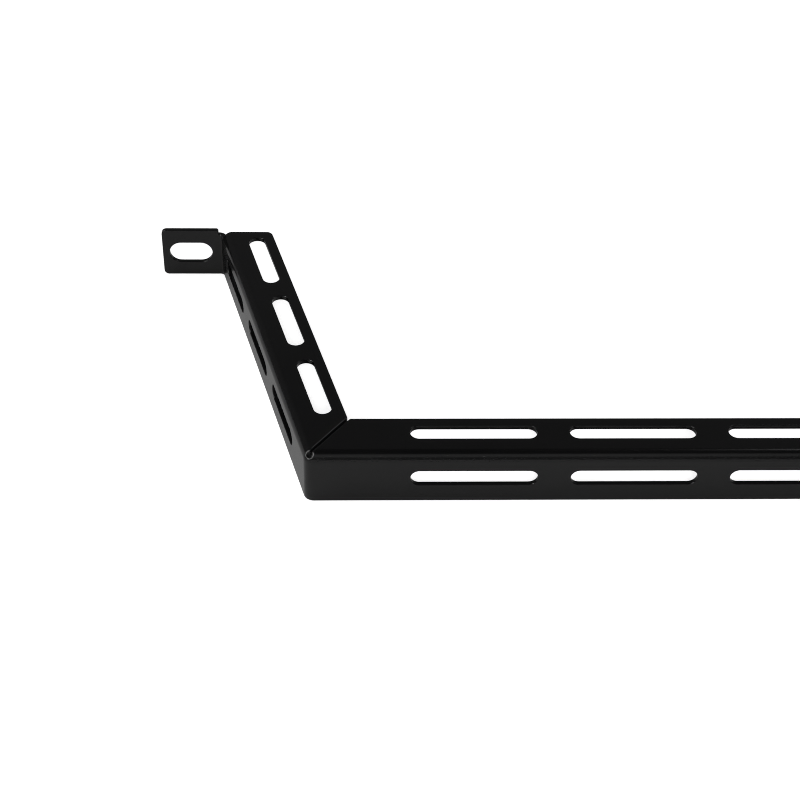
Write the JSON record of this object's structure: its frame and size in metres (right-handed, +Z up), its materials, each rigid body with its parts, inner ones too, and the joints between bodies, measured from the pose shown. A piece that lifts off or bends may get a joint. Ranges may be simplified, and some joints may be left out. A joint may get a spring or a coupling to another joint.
{
  "type": "rack l-rail",
  "caption": "Folded sheet-steel L-section lacing rail: a slotted bar on splayed slotted arms with mounting ears, for tying cables behind rack equipment.",
  "frame": {"origin": "half way between the two ear slots, on the back face of the ears", "axes": "+X along the bar to the right, +Y from the bar to the ears, +Z up, out of the flange's top"},
  "size_m": [0.4826, 0.1031, 0.0166],
  "materials": {
    "powder_coat": "satin"
  },
  "bodies": {
    "root": {"lacing_rail": "powder_coat"}
  },
  "joints": []
}
